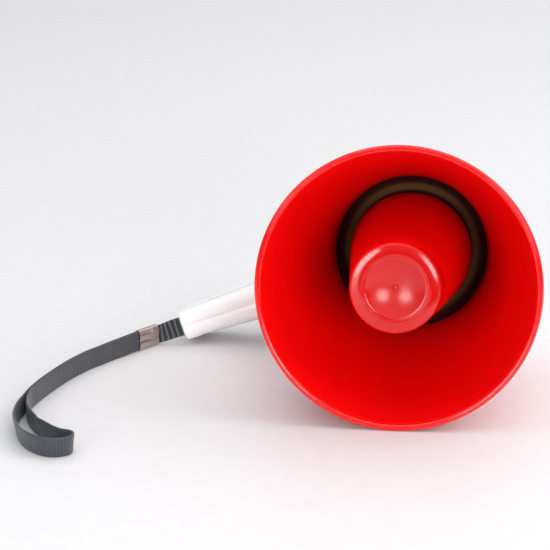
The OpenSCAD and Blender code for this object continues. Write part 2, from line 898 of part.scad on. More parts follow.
module battery_door() {
    color([0.93, 0.93, 0.93])
        difference() {
            union() {
                door_sector(cavity_r, body_r, 0);
                for (i = [1, 3])
                    hinge_bar(knuckle_z[i][0], knuckle_z[i][1], knuckle_r);
                // each knuckle's web, from the door's edge
                for (i = [1, 3])
                    turned([[body_r - 1.2, knuckle_z[i][0]], [body_r + 1, knuckle_z[i][0]],
                            [body_r + 1, knuckle_z[i][1]], [body_r - 1.2, knuckle_z[i][1]]], 4.6, hinge_turn + 1);
                // thumb ridge at the opening edge
                for (k = [0:3])
                    rotate([0, 0, door_turn - 3 - 1.6 * k])
                        translate([body_r, 0, 190])
                            cylinder(r = 0.5, h = 18);
            }
            for (i = [1, 3])
                hinge_bar(knuckle_z[i][0] - 1, knuckle_z[i][1] + 1, hinge_pin_r + 0.06);
            for (i = [0, 2, 4])
                hinge_bar(knuckle_z[i][0] - 0.25, knuckle_z[i][1] + 0.25, knuckle_r + 0.35);
        }
}

module door_pin() {
    color("silver")
        hinge_bar(knuckle_z[0][0], knuckle_z[4][1], hinge_pin_r);
}

// ---- trigger ----

module trigger() {
    color([0.85, 0.1, 0.1])
        difference() {
            hull() {
                cross_bar(pivot_x, pivot_z, 3.4, -trigger_half_w, trigger_half_w);
                cross_bar(-64, 139.2, 3, -trigger_half_w, trigger_half_w);
                cross_bar(-89.5, 137.5, 2.6, -trigger_half_w, trigger_half_w);
                cross_bar(-90.5, 148, 2.4, -trigger_half_w, trigger_half_w);
            }
            cross_bar(-76.5, 113.5, 25, -trigger_half_w - 1, trigger_half_w + 1);
            cross_bar(pivot_x, pivot_z, pin_r + 0.06, -trigger_half_w - 1, trigger_half_w + 1);
        }
}

module trigger_pin() {
    color("silver")
        cross_bar(pivot_x, pivot_z, pin_r, -9.5, 9.5);
}

module trigger_spring() {
    turns = 5;
    path = [for (i = [0:10 * turns])
        [spring_x + 2.2 * cos(36 * i), 2.2 * sin(36 * i), 151.8 + 8.8 * i / (10 * turns)]];
    color("silver")
        swept(path, [for (p = path) [0, 0, 1]], 0.6, 0.6);
}

module trigger_switch() {
    color([0.12, 0.12, 0.14])
        difference() {
            block([-79.6, -3, 157.4], [-68.1, 3, 164]);
            translate([plunger_x, 0, 0])
                disc(1.3, 155, 162.4);
        }
}

module switch_plunger() {
    color([0.9, 0.9, 0.85])
        translate([plunger_x, 0, 0])
            disc(1.2, plunger_z, 160.6);
}

// ---- wiring ----

module driver_leads() {
    color("firebrick")
        wire_pair([[10, 28.2, 174.4], [10, 28.2, 182], [10, 28.1, 191], [9.5, 27.9, 200], [9, 27.6, 204.5],
                   [8.7, 26.8, 206.7], [8.4, 25.2, 207.4], [8.2, 23.6, 207]], 1.2, [1, 0, 0]);
}

module battery_leads() {
    color("black")
        wire_pair([[24, 28.1, 224], [24, 28.1, 218], [23.4, 27.9, 212.5], [21.6, 27, 208.9], [19, 25.8, 207.2],
                   [16.8, 24.7, 206.6]], 1.2, [0.6, -0.8, 0]);
}

module trigger_leads() {
    color("dimgray")
        wire_pair([[-72, 1.6, 164.7], [-71, 1.6, 166.8], [-68, 1.8, 168.6], [-62, 2, 169.8], [-55, 2, 170.4],
                   [-49, 2.2, 171.6], [-44.5, 2.4, 174.4], [-41.8, 2.6, 179], [-40.5, 2.6, 185], [-40, 2.6, 192],
                   [-39.2, 2.6, 199], [-38.6, 2.6, 203.3]], 1.2, [0, 1, 0]);
}

module mic_lead() {
    path = [[0, 0, 222.3], [0, 0, 219.5], [-1.6, 0.3, 216], [-5, 0.9, 212.8], [-8.6, 1.4, 210.2], [-11, 1.8, 207.8],
        [-11.6, 2, 206.4]];
    color("dimgray")
        swept(path, [for (p = path) [0, 1, 0]], 1.4, 1.4);
}

// ---- wrist strap ----

module strap_pin() {
    color("silver")
        cross_bar(eye.x, eye.y, pin_r, -7.9, 7.9);
}

// The tab goes round the strap's pin and leaves the foot as two layers pressed together
module strap_tab() {
    ups = [for (p = tab_eye) tab_up, for (i = [0:len(tab_line) - 1]) let (f = min(max((i - 2) / 4, 0), 1))
        tab_up * (1 - f) + [0, 0, 1] * f];
    color([0.28, 0.3, 0.32])
        translate(centre)
            swept(concat(tab_eye, tab_line), ups, band_w, tab_t);
}

// A flat metal sleeve, pressed round the two layers and the tab's end
module strap_crimp() {
    plate = 0.45;
    inside = [3.2, 12.15];
    color("silver")
        translate(centre + [crimp_start.x, crimp_start.y, 0])
            rotate([0, 0, crimp_turn])
                difference() {
                    block([0, -inside.x / 2 - plate, 0], [crimp_len, inside.x / 2 + plate, inside.y + 2 * plate]);
                    block([-1, -inside.x / 2, plate], [crimp_len + 1, inside.x / 2, inside.y + plate]);
                }
}

function side_step(path, i, d) =
    let (v = heading(path, i)) path[i] + d * [v.y, -v.x];

// The loop goes out along one side of the shared line, round its open end and back along the other
function loop_line() =
    let (last = len(shared_run) - 1)
    concat([for (i = [0:last]) side_step(shared_run, i, -layer_gap / 2)], near_layer, loop_tip, far_layer,
           [for (i = [last:-1:0]) side_step(shared_run, i, layer_gap / 2)]);

module strap_loop() {
    line = loop_line();
    n = len(line);
    // the webbing stands on the crimp's floor at both ends, and on the ground between
    path = [for (i = [0:n - 1])
        let (f = max(0, 1 - max(0, min(i, n - 1 - i) - 2) / 3)) [line[i].x, line[i].y, band_z + 0.5 * f]];
    color([0.28, 0.3, 0.32])
        translate(centre)
            swept(path, [for (p = path) [0, 0, 1]], band_w, band_t);
}

placed() bell();
placed() reflector();
placed() throat_tube();
placed() horn_base();
placed() driver_gasket();
placed() driver_dome();
placed() driver_surround();
placed() voice_coil();
placed() driver_frame();
placed() front_plate();
placed() ring_magnet();
placed() yoke();
placed() driver_screws();
placed() housing_left();
placed() housing_right();
placed() housing_screws();
placed() rear_cover();
placed() cover_screws();
placed() mouth_ring();
placed() mic_grille();
placed() mic_holder();
placed() mic_capsule();
placed() volume_knob();
placed() volume_shaft();
placed() volume_pot();
placed() mode_slider();
placed() mode_switch();
placed() circuit_board();
placed() board_screws();
placed() amplifier_chip();
placed() heat_sink();
placed() capacitors();
placed() battery_tray();
placed() cell_1();
placed() cell_2();
placed() cell_3();
placed() cell_4();
placed() battery_contacts();
placed() battery_springs();
placed() battery_door();
placed() door_pin();
placed() trigger();
placed() trigger_pin();
placed() trigger_spring();
placed() trigger_switch();
placed() switch_plunger();
placed() driver_leads();
placed() battery_leads();
placed() trigger_leads();
placed() mic_lead();
placed() strap_pin();
strap_tab();
strap_crimp();
strap_loop();
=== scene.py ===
"""The looks of a handheld megaphone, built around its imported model."""
import json
import math

import bmesh
import bpy
from mathutils import Matrix, Vector


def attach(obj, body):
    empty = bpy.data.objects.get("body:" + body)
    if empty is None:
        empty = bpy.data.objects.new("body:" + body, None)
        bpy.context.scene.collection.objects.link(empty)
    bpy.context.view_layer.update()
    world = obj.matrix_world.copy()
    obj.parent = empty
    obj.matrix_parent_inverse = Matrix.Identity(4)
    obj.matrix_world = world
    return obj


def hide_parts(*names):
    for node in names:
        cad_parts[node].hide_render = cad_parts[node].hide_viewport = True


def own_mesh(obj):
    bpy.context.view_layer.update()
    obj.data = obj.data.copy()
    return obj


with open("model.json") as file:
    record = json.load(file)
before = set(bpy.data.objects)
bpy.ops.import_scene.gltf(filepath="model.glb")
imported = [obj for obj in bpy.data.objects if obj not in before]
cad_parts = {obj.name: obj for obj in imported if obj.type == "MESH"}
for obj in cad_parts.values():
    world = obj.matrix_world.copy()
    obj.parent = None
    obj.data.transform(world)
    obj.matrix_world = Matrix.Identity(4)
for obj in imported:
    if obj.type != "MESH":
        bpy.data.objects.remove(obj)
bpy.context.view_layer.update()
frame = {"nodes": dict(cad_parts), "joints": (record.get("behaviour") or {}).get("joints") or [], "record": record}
MM = 0.001

# ---- the horn's own frame: z from the mouth to the rear, -x along the handle ----

joints = {j["name"]: j for j in frame["joints"]}
OUTWARD = Vector(joints["mode_slide"]["axis"])
ACROSS = Vector(joints["trigger_pivot"]["axis"])
REARWARD = Vector(joints["plunger_slide"]["axis"])
# the trigger's pivot in that frame, in millimetres
PIVOT_X = -62.5
PIVOT_Z = 151
MOUTH = Vector(joints["trigger_pivot"]["pos_m"]) - MM * (PIVOT_X * OUTWARD + PIVOT_Z * REARWARD)
HORN = Matrix.Translation(MOUTH) @ Matrix((OUTWARD, ACROSS, REARWARD)).transposed().to_4x4()
# the point of the floor under the mouth's centre
UNDER_MOUTH = Vector((MOUTH.x, MOUTH.y, 0))


def at(x, y, z):
    """A point of the horn's frame, given in millimetres, in the row frame."""
    return HORN @ (MM * Vector((x, y, z)))


def laid(x, y, z):
    """A point over the floor, in millimetres from the point under the mouth's centre."""
    return UNDER_MOUTH + MM * Vector((x, y, z))


# ---- camera ----

# millimetres from the point under the mouth, degrees, and the focal length on a 36 mm sensor
CAMERA_AT = (68.3, -1273.7, 442.0)
CAMERA_TURN = -6.12
CAMERA_DIP = 15.53
LENS = 157.1


def add_camera():
    pan, dip = math.radians(CAMERA_TURN), math.radians(CAMERA_DIP)
    ahead = Vector((math.sin(pan) * math.cos(dip), math.cos(pan) * math.cos(dip), -math.sin(dip)))
    right = Vector((math.cos(pan), -math.sin(pan), 0))
    up = right.cross(ahead)
    data = bpy.data.cameras.new("camera")
    data.lens = LENS
    data.sensor_width = 36
    data.clip_start = 0.01
    data.clip_end = 100
    camera = bpy.data.objects.new("camera", data)
    turn = Matrix((right, up, -ahead)).transposed().to_4x4()
    camera.matrix_world = Matrix.Translation(laid(*CAMERA_AT)) @ turn
    bpy.context.scene.collection.objects.link(camera)
    bpy.context.scene.camera = camera


# ---- material building ----


class Nodes:
    """A short way to build a node tree: each call adds a node, and its inputs are values or sockets."""

    def __init__(self, name):
        self.material = bpy.data.materials.new(name)
        self.material.use_nodes = True
        self.tree = self.material.node_tree
        self.tree.nodes.clear()
        self.out = self.tree.nodes.new("ShaderNodeOutputMaterial")

    def add(self, kind, settings=None, **inputs):
        node = self.tree.nodes.new("ShaderNode" + kind)
        for key, value in (settings or {}).items():
            setattr(node, key, value)
        for key, value in inputs.items():
            self.put(node.inputs[key.replace("_", " ")], value)
        return node

    def put(self, socket, value):
        if isinstance(value, bpy.types.NodeSocket):
            self.tree.links.new(value, socket)
        else:
            socket.default_value = value

    def coords(self, scale=(1, 1, 1), along_horn=False):
        where = self.add("TexCoord").outputs["Object"]
        if along_horn:
            back = HORN.inverted()
            turn = back.to_euler()
            where = self.add("Mapping", Vector=where, Location=back.translation, Rotation=turn).outputs[0]
        return self.add("Mapping", Vector=where, Scale=scale).outputs[0]

    def noise(self, where, scale, detail=3.0, rough=0.5):
        return self.add("TexNoise", Vector=where, Scale=scale, Detail=detail, Roughness=rough).outputs["Fac"]

    def spread(self, value, low, high, to_low=0.0, to_high=1.0):
        node = self.add("MapRange", {"clamp": True}, Value=value)
        for name, number in (("From Min", low), ("From Max", high), ("To Min", to_low), ("To Max", to_high)):
            node.inputs[name].default_value = number
        return node.outputs[0]

    def blend(self, share, a, b):
        node = self.add("Mix", {"data_type": "RGBA"})
        self.put(node.inputs[0], share)
        self.put(node.inputs[6], a)
        self.put(node.inputs[7], b)
        return node.outputs[2]

    def sums(self, operation, a, b):
        node = self.add("Math", {"operation": operation})
        self.put(node.inputs[0], a)
        self.put(node.inputs[1], b)
        return node.outputs[0]

    def axis_distance(self, x, y):
        """The distance from the horn's axis."""
        squares = self.sums("ADD", self.sums("MULTIPLY", x, x), self.sums("MULTIPLY", y, y))
        return self.sums("SQRT", squares, 0.0)

    def bump(self, height, distance, strength=1.0, normal=None):
        node = self.add("Bump", Height=height, Distance=distance, Strength=strength)
        if normal is not None:
            self.put(node.inputs["Normal"], normal)
        return node.outputs[0]

    def surface(self, **inputs):
        shader = self.add("BsdfPrincipled", **inputs)
        self.tree.links.new(shader.outputs[0], self.out.inputs["Surface"])
        return self.material


def rgba(color, share=1.0):
    return (color[0] * share, color[1] * share, color[2] * share, 1.0)


def moulded(name, color, rough, grain=0.02, grain_size=2500, shade=0.06):
    """Moulded plastic: a fine grain, patches that are a little duller and faint flow shading."""
    n = Nodes(name)
    where = n.coords()
    flow = n.spread(n.noise(where, 22, 2), 0.3, 0.7)
    base = n.blend(flow, rgba(color, 1 - shade), rgba(color, 1 + shade))
    dull = n.spread(n.noise(where, 90, 4, 0.6), 0.3, 0.7, rough * 0.85, rough * 1.2)
    fine = n.noise(where, grain_size, 2)
    wide = n.noise(where, 35, 1)
    normal = n.bump(wide, 0.00012, 0.25)
    normal = n.bump(fine, grain * MM, 1.0, normal)
    return n.surface(Base_Color=base, Roughness=dull, Normal=normal)


def metal(name, color, rough, scratches=400, brushed=(1, 1, 1), tint=0.1, bump=0.004):
    """Plated or bare metal with fine scratches and uneven polish."""
    n = Nodes(name)
    where = n.coords(brushed)
    streak = n.noise(where, scratches, 4, 0.65)
    base = n.blend(n.spread(streak, 0.3, 0.7), rgba(color, 1 - tint), rgba(color, 1 + tint / 2))
    dull = n.spread(n.noise(where, scratches / 3, 3), 0.3, 0.7, rough * 0.7, rough * 1.3)
    return n.surface(Base_Color=base, Roughness=dull, Metallic=1.0, Normal=n.bump(streak, bump * MM))


def woven(name, color):
    """Tightly woven nylon: fine picks across the band, a soft sheen and slightly uneven dye."""
    n = Nodes(name)
    where = n.coords()
    fleck = n.noise(where, 900, 4, 0.7)
    dye = n.spread(n.noise(where, 40, 2), 0.3, 0.7)
    base = n.blend(dye, rgba(color, 0.88), rgba(color, 1.12))
    base = n.blend(n.spread(fleck, 0.35, 0.75, 0, 0.4), base, rgba(color, 2.0))
    # painted shade darkens the grooves between the ribs and a painted highlight makes their crests paler
    crest = n.add("Attribute", {"attribute_name": "crest"}).outputs["Fac"]
    base = n.blend(n.spread(crest, -1, 0), rgba(color, 0.22), base)
    base = n.blend(n.spread(crest, 0, 1), base, rgba((0.12, 0.135, 0.14)))
    dull = n.spread(fleck, 0.3, 0.7, 0.36, 0.5)
    material = n.surface(Base_Color=base, Roughness=dull, Normal=n.bump(fleck, 0.03 * MM))
    shader = n.tree.nodes["Principled BSDF"]
    shader.inputs["Sheen Weight"].default_value = 0.25
    shader.inputs["Sheen Roughness"].default_value = 0.4
    return material


def board(name):
    """Solder mask over copper tracks."""
    n = Nodes(name)
    where = n.coords(along_horn=True)
    bricks = n.add("TexBrick", Vector=where, Scale=120, Mortar_Size=0.03)
    tracks = n.spread(bricks.outputs["Fac"], 0.4, 0.6)
    base = n.blend(tracks, (0.01, 0.11, 0.035, 1), (0.03, 0.24, 0.08, 1))
    base = n.blend(n.spread(n.noise(where, 900, 2), 0.72, 0.76), base, (0.6, 0.6, 0.55, 1))
    return n.surface(Base_Color=base, Roughness=0.3, Normal=n.bump(tracks, 0.03 * MM))


def ferrite(name):
    """Sintered ferrite: dark, dull and grainy."""
    n = Nodes(name)
    where = n.coords()
    grain = n.noise(where, 1800, 5, 0.7)
    base = n.blend(grain, (0.03, 0.03, 0.034, 1), (0.1, 0.1, 0.105, 1))
    return n.surface(Base_Color=base, Roughness=0.6, Metallic=0.3, Normal=n.bump(grain, 0.05 * MM))


def film(name):
    """Thin amber film, a little mottled."""
    n = Nodes(name)
    where = n.coords()
    grain = n.noise(where, 300, 3)
    base = n.blend(grain, (0.5, 0.32, 0.12, 1), (0.75, 0.55, 0.26, 1))
    return n.surface(Base_Color=base, Roughness=0.25, Normal=n.bump(grain, 0.02 * MM))


def cell_sleeve(name):
    """A blue shrink sleeve with a grey band round its rear end."""
    n = Nodes(name)
    band_z = 0.212
    along = n.add("SeparateXYZ", Vector=n.coords(along_horn=True)).outputs["Z"]
    band = n.sums("GREATER_THAN", along, band_z)
    base = n.blend(band, (0.04, 0.1, 0.24, 1), (0.35, 0.35, 0.36, 1))
    fine = n.noise(n.coords(), 500, 3)
    base = n.blend(n.spread(fine, 0.3, 0.7, 0, 0.2), base, (0.1, 0.16, 0.3, 1))
    return n.surface(Base_Color=base, Roughness=0.25, Normal=n.bump(fine, 0.01 * MM))


def horn_plastic(name, color):
    """Glossy red moulding: light soaks into it, and the faces deep inside the horn are duller."""
    n = Nodes(name)
    where = n.coords()
    place = n.add("SeparateXYZ", Vector=n.coords(along_horn=True))
    x, y, z = (place.outputs[k] for k in "XYZ")
    reach = n.axis_distance(x, y)
    # metres; middle is the middle of the bell's wall, a shallow curve from the mouth to the neck
    mouth_r, narrowing, sag, depth, lip_z = 0.0777, 0.0303, 0.0046, 0.15, 0.0011
    ring_r, front_r, dish_r = 0.019, 0.0250, 0.0166
    share = n.sums("DIVIDE", z, depth)
    bow = n.sums("MULTIPLY", n.sums("MULTIPLY", share, n.sums("SUBTRACT", 1.0, share)), sag)
    middle = n.sums("SUBTRACT", n.sums("SUBTRACT", mouth_r, n.sums("MULTIPLY", share, narrowing)), bow)
    sheltered = n.sums("MULTIPLY", n.sums("LESS_THAN", reach, middle), n.spread(reach, ring_r, 0.021))
    inner = n.sums("MULTIPLY", n.spread(z, lip_z, 0.0024), sheltered)
    front = n.spread(reach, front_r, 0.0256, 1, 0)
    flow = n.spread(n.noise(where, 22, 2), 0.3, 0.7)
    base = n.blend(flow, rgba(color, 0.97), rgba(color, 1.03))
    # painted shade: the reflector's front catches the lamps squarely, so it is painted a deeper red than the
    # bell's plastic
    base = n.blend(front, base, rgba(color, 0.65))
    # pale specks, in a few patches only
    cells = n.add("TexVoronoi", Vector=where, Scale=260, Randomness=1.0).outputs["Distance"]
    chosen = n.spread(n.noise(where, 60, 2), 0.66, 0.7)
    specks = n.sums("MULTIPLY", n.spread(cells, 0.05, 0.09, 1, 0), chosen)
    base = n.blend(n.sums("MULTIPLY", specks, 0.35), base, (0.8, 0.6, 0.58, 1))
    uneven = n.spread(n.noise(where, 90, 4, 0.6), 0.3, 0.7, 0.9, 1.15)
    dull = n.sums("MULTIPLY", uneven, n.spread(inner, 0, 1, 0.1, 0.5))
    # the dish is a little duller than the ring round it
    dull = n.sums("ADD", dull, n.spread(reach, dish_r, 0.0172, 0.14, 0))
    shine = n.spread(inner, 0, 1, 0.6, 0.12)
    normal = n.bump(n.noise(where, 35, 1), 0.00012, 0.2)
    normal = n.bump(n.noise(where, 2500, 2), 0.003 * MM, 1.0, normal)
    material = n.surface(Base_Color=base, Roughness=dull, Specular_IOR_Level=shine, Normal=normal)
    shader = n.tree.nodes["Principled BSDF"]
    shader.inputs["Subsurface Weight"].default_value = 0.45
    shader.inputs["Subsurface Radius"].default_value = (1.0, 0.03, 0.03)
    shader.inputs["Subsurface Scale"].default_value = 0.006
    return material


def channel(name):
    """Dark moulded plastic, with a painted highlight: a paler, browner band where it faces out of the horn."""
    n = Nodes(name)
    place = n.add("SeparateXYZ", Vector=n.coords(along_horn=True))
    x, y = place.outputs["X"], place.outputs["Y"]
    reach = n.axis_distance(x, y)
    # painted highlight: a patchy paler brown band round the ring where it faces out of the horn
    painted_highlight_band = n.sums("MULTIPLY", n.spread(reach, 0.0366, 0.0374), n.spread(reach, 0.0402, 0.0425, 1, 0))
    patches = n.spread(n.noise(n.coords(), 45, 3), 0.3, 0.7, 0.75, 1.0)
    shade, painted_highlight_brown = (0.055, 0.012, 0.014, 1), (0.165, 0.105, 0.037, 1)
    base = n.blend(n.sums("MULTIPLY", painted_highlight_band, patches), shade, painted_highlight_brown)
    fine = n.noise(n.coords(), 1500, 3)
    dull = n.spread(n.noise(n.coords(), 200, 3), 0.3, 0.7, 0.3, 0.42)
    shine = n.spread(reach, 0.0378, 0.0400, 0.05, 0.4)
    normal = n.bump(fine, 0.01 * MM)
    return n.surface(Base_Color=base, Roughness=dull, Specular_IOR_Level=shine, Normal=normal)


RED = (0.80, 0.0009, 0.0012)
WHITE = (0.92, 0.92, 0.92)
MATERIALS = {
    "red_bell": horn_plastic("red_gloss", RED),
    "black_plastic": channel("channel_dark_painted_highlight"),
    "white_plastic": moulded("white_satin", WHITE, 0.22, grain=0.006, grain_size=1600, shade=0.012),
    "red_plastic": moulded("red_satin", (0.62, 0.006, 0.008), 0.3, grain=0.012),
    "gasket_rubber": moulded("rubber_black", (0.02, 0.02, 0.021), 0.6, grain=0.03),
    "dome_film": film("amber_film"),
    "coil_copper": metal("copper_winding", (0.75, 0.36, 0.18), 0.35, 2400, (1, 1, 1), 0.3, 0.03),
    "plated_steel": metal("zinc_plate", (0.62, 0.62, 0.6), 0.32, 500),
    "ferrite": ferrite("ferrite_grey"),
    "screw_steel": metal("screw_zinc", (0.56, 0.56, 0.57), 0.28, 900),
    "nickel": metal("nickel_plate", (0.52, 0.43, 0.39), 0.1, 700, (1, 1, 6)),
    "knob_black": moulded("knob_satin", (0.022, 0.022, 0.024), 0.4, grain=0.03, grain_size=1800),
    "board_green": board("circuit_mask"),
    "chip_black": moulded("chip_epoxy", (0.013, 0.013, 0.014), 0.5, grain=0.02),
    "sink_aluminium": metal("extruded_aluminium", (0.72, 0.73, 0.74), 0.3, 300, (1, 12, 12)),
    "capacitor_blue": moulded("capacitor_sleeve", (0.03, 0.06, 0.2), 0.25),
    "cell_sleeve": cell_sleeve("cell_wrap"),
    "wire_red": moulded("wire_red_skin", (0.35, 0.01, 0.01), 0.35),
    "wire_black": moulded("wire_black_skin", (0.012, 0.012, 0.012), 0.35),
    "wire_grey": moulded("wire_grey_skin", (0.16, 0.16, 0.17), 0.35),
    "webbing": woven("nylon_webbing", (0.031, 0.038, 0.048)),
}


def dress_frame():
    """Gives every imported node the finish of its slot."""
    for entry in frame["record"]["subparts"]:
        node = frame["nodes"][entry["node"]]
        node.data.materials.clear()
        node.data.materials.append(MATERIALS[entry["material_slot"]])


def soften(names, width, turn=33):
    """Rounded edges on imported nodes: width in millimetres, where faces meet at more than turn degrees."""
    for name in names:
        node = frame["nodes"][name]
        for face in node.data.polygons:
            face.use_smooth = True
        weld = node.modifiers.new("weld", "WELD")
        weld.merge_threshold = 0.02 * MM
        edge = node.modifiers.new("edge", "BEVEL")
        edge.width = width * MM
        edge.segments = 2
        edge.limit_method = "ANGLE"
        edge.angle_limit = math.radians(turn)
        edge.harden_normals = True


# ---- pieces ----


def add_piece(name, points, faces, slot, body="megaphone", replaces=(), smooth=32):
    """A mesh piece from points in the row frame, shaded smooth across edges up to smooth degrees."""
    mesh = bpy.data.meshes.new(name)
    mesh.from_pydata([tuple(p) for p in points], [], faces)
    mesh.validate()
    bm = bmesh.new()
    bm.from_mesh(mesh)
    bmesh.ops.recalc_face_normals(bm, faces=bm.faces)
    bm.to_mesh(mesh)
    bm.free()
    for face in mesh.polygons:
        face.use_smooth = True
    mesh.set_sharp_from_angle(angle=math.radians(smooth))
    piece = bpy.data.objects.new(name, mesh)
    bpy.context.scene.collection.objects.link(piece)
    mesh.materials.append(MATERIALS[slot])
    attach(piece, body)
    if replaces:
        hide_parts(*replaces)
    return piece


def arc(centre, radius, start, end, steps):
    """Points of an arc in the r-z plane, angles in degrees."""
    angles = [math.radians(start + (end - start) * i / steps) for i in range(steps + 1)]
    return [(centre[0] + radius * math.cos(a), centre[1] + radius * math.sin(a)) for a in angles]


def turned(profile, segments):
    """Points and faces of a closed outline of (radius, z) turned about the horn's axis."""
    points, rings, faces = [], [], []
    for radius, z in profile:
        count = 1 if radius < 1e-6 else segments
        rings.append([len(points) + i for i in range(count)])
        points += [at(radius * math.cos(t), radius * math.sin(t), z)
                   for t in (2 * math.pi * i / segments for i in range(count))]
    for k, ring in enumerate(rings):
        after = rings[(k + 1) % len(rings)]
        for i in range(segments):
            j = (i + 1) % segments
            if len(ring) > 1 and len(after) > 1:
                faces.append([ring[i], ring[j], after[j], after[i]])
            elif len(ring) > 1:
                faces.append([ring[i], ring[j], after[0]])
            elif len(after) > 1:
                faces.append([ring[0], after[j], after[i]])
    return points, faces


# ---- horn ----

# radii are the bell's outside at the mouth and its inside at the neck, in millimetres
MOUTH_R = 80
LIP_R = 1.9
LIP_Z = 1.78
NECK_R = 46.5
BELL_LEN = 150
BELL_WALL = 2.5
FLARE = 1.12
MOUTH_IN_R = MOUTH_R - 2 * LIP_R + 0.6
FLANGE_R = 54.3
FLANGE_Z = 146.5


def bell_in(z):
    """The radius inside the bell, z behind its mouth."""
    return NECK_R + (MOUTH_IN_R - NECK_R) * (1 - z / BELL_LEN) ** FLARE


def add_bell():
    """The bell: a rolled lip, a wall that narrows in a shallow curve and a flange at the neck."""
    steps = 48
    first = 4.4
    inner = [first + (BELL_LEN - first) * i / steps for i in range(steps + 1)]
    outer = [z for z in inner if z < FLANGE_Z - 1.5]
    centre = (MOUTH_R - LIP_R, LIP_Z)
    profile = [(bell_in(z), z) for z in reversed(inner)]
    profile += [(bell_in(first) - 0.02, 3.6)]
    profile += arc(centre, LIP_R, 152, 270, 16)[:-1]
    profile += [(centre[0] - 0.4, 0), (centre[0] + 0.4, 0)]
    profile += arc(centre, LIP_R, 270, 430, 20)[1:]
    profile += [(bell_in(z) + BELL_WALL, z) for z in outer]
    corner_r = bell_in(FLANGE_Z) + BELL_WALL
    profile += [(corner_r + 0.5, FLANGE_Z - 0.4), (corner_r + 1.2, FLANGE_Z)]
    profile += [(FLANGE_R, FLANGE_Z), (FLANGE_R, BELL_LEN)]
    add_piece("bell_shell", *turned(profile, 256), "red_bell", replaces=["bell"])


def add_reflector():
    """The reflector: a dished front with a domed ring round it, carried a little to the handle's side."""
    z0 = 0.6
    rear_z, rear_r = 145, 36.8
    front_r, wall = 25.6, 2.2
    dish_r, dish_depth, nub_r = 16.6, 4.2, 1.7
    # the ring starts at step_r and falls away by drop to an edge rounded by edge
    step_r, edge, drop = 18.3, 1.9, 0.55
    # millimetres along the row frame's x and z, at the front
    lean = (-1.7, 0.4)
    curve = (dish_r ** 2 + dish_depth ** 2) / (2 * dish_depth)
    bottom = z0 + 0.5 + dish_depth
    profile = [(0, bottom + 0.2 - nub_r)] + arc((0, bottom + 0.2), nub_r, 280, 352, 8)
    dish_start = nub_r + 0.5
    for i in range(25):
        r = dish_start + (dish_r - dish_start) * i / 24
        profile.append((r, bottom + math.sqrt(curve ** 2 - r ** 2) - curve))
    profile += [(dish_r + 0.3, z0 + 0.36), (step_r - 0.25, z0 + 0.36), (step_r, z0 + 0.1)]
    ring_end = front_r - edge
    for i in range(9):
        f = i / 8
        profile.append((step_r + 0.25 + (ring_end - step_r - 0.25) * f, z0 + 0.05 * (1 - f) + drop * f * f))
    start = z0 + drop + edge
    profile += arc((ring_end, start), edge, -76, -6, 12)
    flank = [i / 14 for i in range(1, 15)]
    profile += [(front_r + (rear_r - front_r) * f, start + (rear_z - 1 - start) * f) for f in flank]
    profile += [(rear_r - 0.5, rear_z), (rear_r - wall + 0.5, rear_z), (rear_r - wall, rear_z - 1)]
    profile += [(front_r - wall + 0.3, z0 + 10), (front_r - wall - 2.5, z0 + 7.4), (0, z0 + 7.4)]
    points, faces = turned(profile, 224)
    axis_z = [(p - MOUTH).dot(REARWARD) / MM for p in points]
    shift = Vector((lean[0], 0, lean[1])) * MM
    points = [p + shift * (1 - z / rear_z) for p, z in zip(points, axis_z)]
    add_piece("reflector_plug", points, faces, "red_bell", replaces=["reflector"])


def add_horn_base():
    """The ring channel behind the bell, with the seats of the bell and the driver."""
    channel_r = 9.5
    outer = (NECK_R - channel_r, BELL_LEN)
    profile = arc(outer, channel_r, 0, 90, 28) + arc((19.5, 153), 6.5, 90, 180, 14)
    profile += [(9.32, 153), (9, 161), (17, 161), (17, 163.5), (34, 163.5), (34, 161.5), (37, 161.5)]
    profile += arc(outer, channel_r + 2, 80, 14, 10)
    profile += [(48.3, 152.5), (FLANGE_R, 152.5), (FLANGE_R, BELL_LEN)]
    add_piece("horn_channel", *turned(profile, 224), "black_plastic", replaces=["horn_base"])


def bars(boxes):
    """Points and faces of plain bars, each given by its eight corners in the horn's frame."""
    points, faces = [], []
    for corners in boxes:
        k = len(points)
        points += [at(*c) for c in corners]
        faces += [[k + i for i in side] for side in
                  ((0, 1, 3, 2), (4, 6, 7, 5), (0, 4, 5, 1), (2, 3, 7, 6), (0, 2, 6, 4), (1, 5, 7, 3))]
    return points, faces


def add_dial():
    """A white line in the knob's groove, and marks on the rear cover over the knob's 270 degrees."""
    knob_y, rear = -34, 238
    groove = (rear + 8.1, rear + 8.72)
    line = [(x, knob_y + y, z) for x in (-0.45, 0.45) for y in (-7.2, -2.7) for z in groove]
    add_piece("knob_pointer", *bars([line]), "white_plastic", body="knob")
    marks = []
    for i in range(9):
        a = math.radians(-90 + 270 * i / 8)
        out, side = Vector((math.cos(a), math.sin(a))), Vector((-math.sin(a), math.cos(a)))
        # shorter next to the mouthpiece, longer at both ends
        start, end = (8.5, 9.8) if out.y > 0.9 else (9.3, 11.8 if i in (0, 8) else 10.9)
        marks.append([(*(Vector((0, knob_y)) + r * out + w * side), z)
                      for r in (start, end) for w in (-0.25, 0.25) for z in (rear - 0.2, rear + 0.1)])
    add_piece("dial_marks", *bars(marks), "knob_black")


